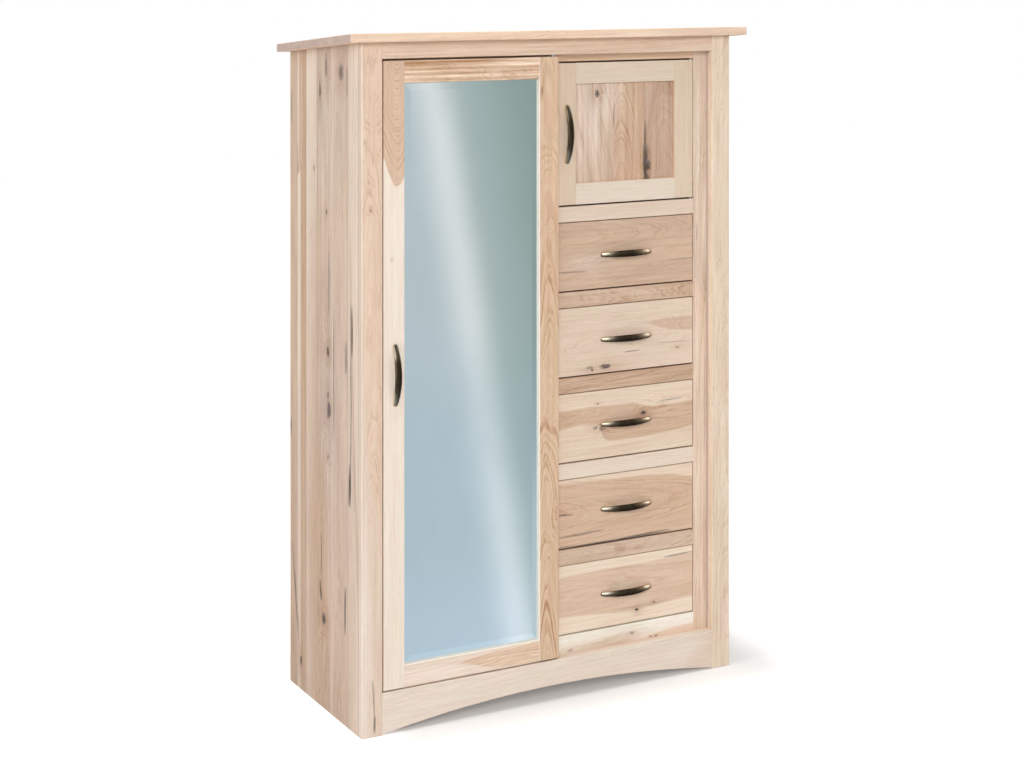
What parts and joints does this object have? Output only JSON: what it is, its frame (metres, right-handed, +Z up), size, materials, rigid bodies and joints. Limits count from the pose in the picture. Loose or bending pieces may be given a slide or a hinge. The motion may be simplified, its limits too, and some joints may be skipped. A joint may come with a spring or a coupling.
{
  "type": "chifforobe",
  "caption": "Tall wooden wardrobe chest: a long mirrored door over a hanging bay on the left, a small panelled door over a stack of drawers on the right, bow pulls and an arched base rail.",
  "frame": {"origin": "on the floor, under the middle of the whole piece's box", "axes": "+Z up; the front, with its doors and drawers, faces -Y; +X is to the right of someone facing the front"},
  "size_m": [1.21, 0.5892, 1.829],
  "materials": {
    "hickory": "clear satin lacquer",
    "inside_wood": "clear satin lacquer",
    "drawer_box_wood": "clear satin lacquer",
    "mirror_glass": "silvered, bevelled edge",
    "backing_board": "plain hardboard",
    "steel": "zinc plated",
    "pull_metal": "dark antique"
  },
  "bodies": {
    "case": {"back_panel": "inside_wood", "bottom_front_rail": "hickory", "cabinet_runners": "steel", "centre_partition": "inside_wood", "compartment_floor": "inside_wood", "door_catches": "steel", "drawer_rails": "hickory", "drawer_side_panel": "inside_wood", "floor_panel": "inside_wood", "frame_hinge_plates": "steel", "hanging_rod": "inside_wood", "hat_shelf": "inside_wood", "inner_bottom_rails": "hickory", "inner_left_stile": "hickory", "inner_middle_stile": "hickory", "inner_right_stile": "hickory", "inner_top_rails": "hickory", "left_front_stile": "hickory", "left_side_panel": "hickory", "recess_lining": "hickory", "right_front_stile": "hickory", "right_side_panel": "hickory", "rod_cups": "steel", "shelf_cleats": "inside_wood", "top_board": "hickory", "top_front_rail": "hickory"},
    "mirror_door": {"mirror_backing": "backing_board", "mirror_door_hinge_leaves": "steel", "mirror_door_left_stile": "hickory", "mirror_door_pull": "pull_metal", "mirror_door_rails": "hickory", "mirror_door_right_stile": "hickory", "mirror_glass": "mirror_glass"},
    "small_door": {"small_door_hinge_leaves": "steel", "small_door_left_stile": "hickory", "small_door_panel": "hickory", "small_door_pull": "pull_metal", "small_door_rails": "hickory", "small_door_right_stile": "hickory"},
    "drawer_1": {"drawer_1_box": "drawer_box_wood", "drawer_1_front": "hickory", "drawer_1_pull": "pull_metal", "drawer_1_runners": "steel"},
    "drawer_2": {"drawer_2_box": "drawer_box_wood", "drawer_2_front": "hickory", "drawer_2_pull": "pull_metal", "drawer_2_runners": "steel"},
    "drawer_3": {"drawer_3_box": "drawer_box_wood", "drawer_3_front": "hickory", "drawer_3_pull": "pull_metal", "drawer_3_runners": "steel"},
    "drawer_4": {"drawer_4_box": "drawer_box_wood", "drawer_4_front": "hickory", "drawer_4_pull": "pull_metal", "drawer_4_runners": "steel"},
    "drawer_5": {"drawer_5_box": "drawer_box_wood", "drawer_5_front": "hickory", "drawer_5_pull": "pull_metal", "drawer_5_runners": "steel"}
  },
  "joints": [
    {"name": "mirror_door_hinge", "type": "hinge", "parent": "case", "child": "mirror_door", "pos_m": [0.001, -0.25185, 0.93625], "axis": [0, 0, 1], "range_deg": [0, 90]},
    {"name": "small_door_hinge", "type": "hinge", "parent": "case", "child": "small_door", "pos_m": [0.4568, -0.22735, 1.5429], "axis": [0, 0, 1], "range_deg": [0, 90]},
    {"name": "drawer_1_slide", "type": "slide", "parent": "case", "child": "drawer_1", "axis": [0, -1, 0], "range_m": [0, 0.35]},
    {"name": "drawer_2_slide", "type": "slide", "parent": "case", "child": "drawer_2", "axis": [0, -1, 0], "range_m": [0, 0.35]},
    {"name": "drawer_3_slide", "type": "slide", "parent": "case", "child": "drawer_3", "axis": [0, -1, 0], "range_m": [0, 0.35]},
    {"name": "drawer_4_slide", "type": "slide", "parent": "case", "child": "drawer_4", "axis": [0, -1, 0], "range_m": [0, 0.35]},
    {"name": "drawer_5_slide", "type": "slide", "parent": "case", "child": "drawer_5", "axis": [0, -1, 0], "range_m": [0, 0.35]}
  ]
}
